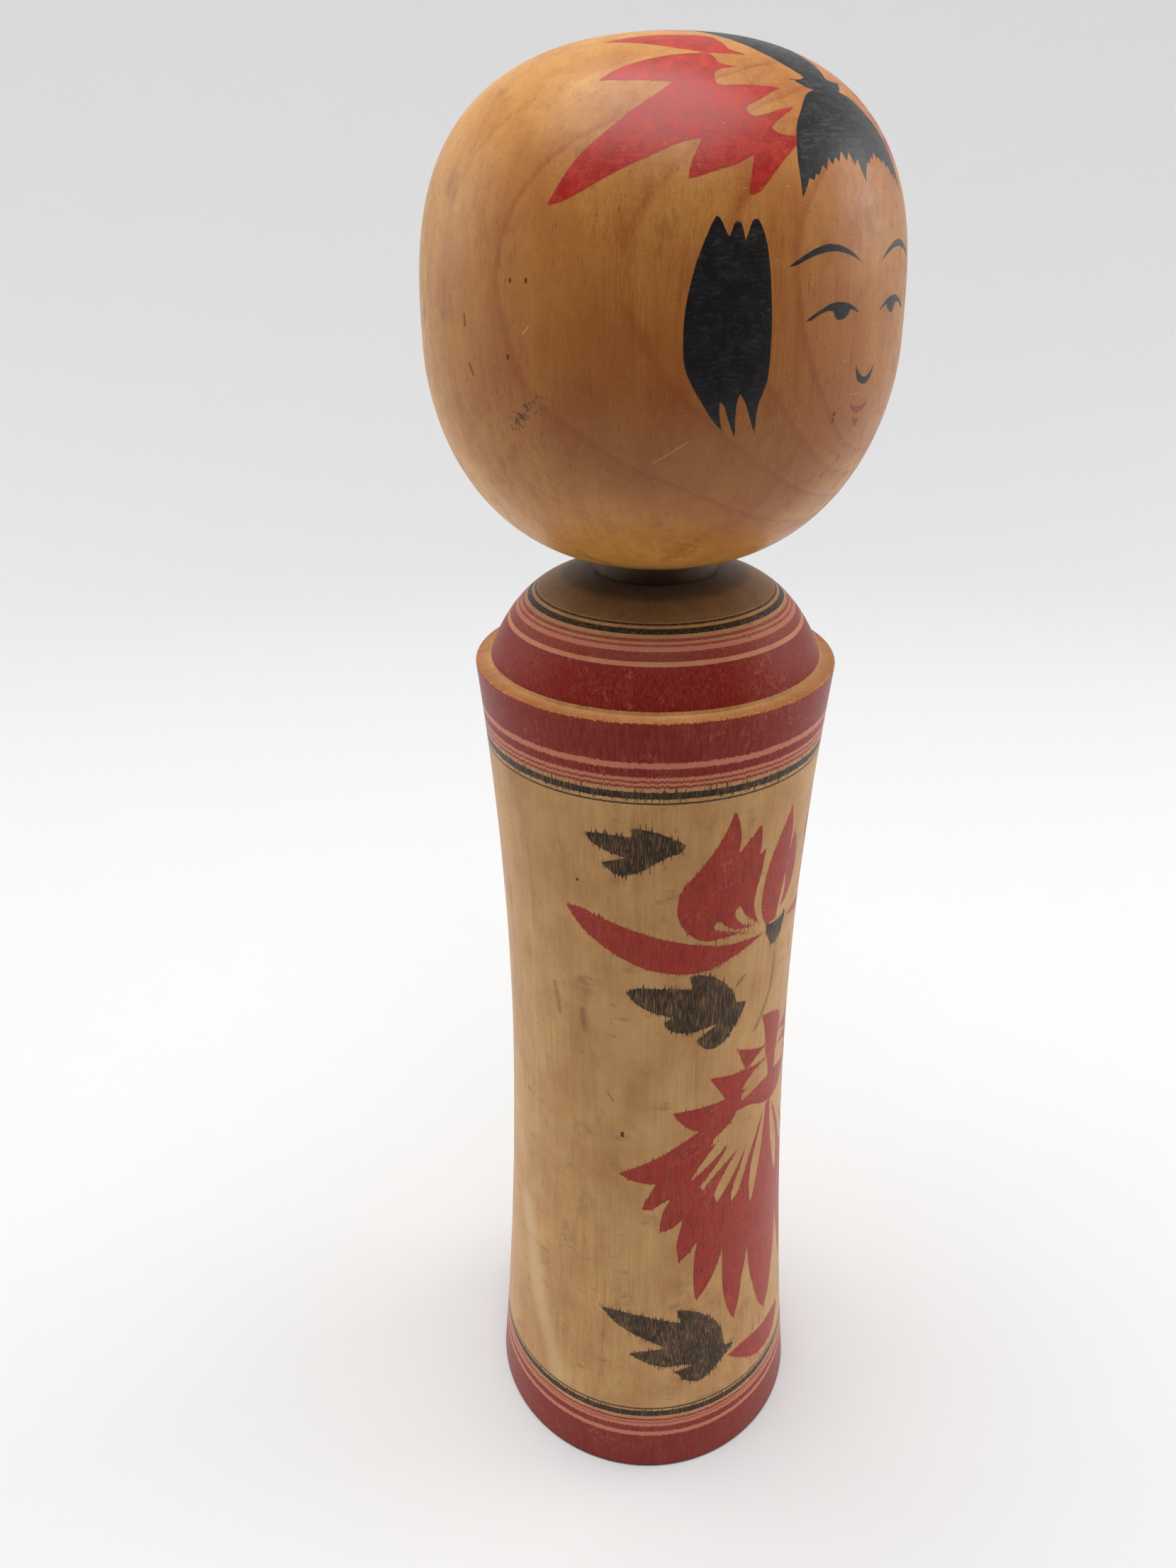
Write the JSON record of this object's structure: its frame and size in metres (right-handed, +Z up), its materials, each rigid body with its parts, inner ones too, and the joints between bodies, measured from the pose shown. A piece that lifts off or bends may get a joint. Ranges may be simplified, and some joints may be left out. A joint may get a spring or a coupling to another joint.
{
  "type": "kokeshi doll",
  "caption": "Lathe-turned wooden kokeshi doll: waisted body with a stepped, domed shoulder and a rounded head on a short neck that turns in a blind socket.",
  "frame": {"origin": "on the turning axis, in the plane of the foot that the doll stands on", "axes": "+Z up along the turning axis, the doll faces -Y, +X is on the doll's left"},
  "size_m": [0.0816, 0.0816, 0.3],
  "materials": {
    "body_wood": "matt waxed wood with painted bands and flowers",
    "head_wood": "polished waxed wood with painted hair, face and ribbon"
  },
  "bodies": {
    "body": {"body": "body_wood"},
    "head": {"head": "head_wood"}
  },
  "joints": [
    {"name": "head_turn", "type": "hinge", "parent": "body", "child": "head", "pos_m": [0, 0, 0.203], "axis": [0, 0, 1], "continuous": true}
  ]
}
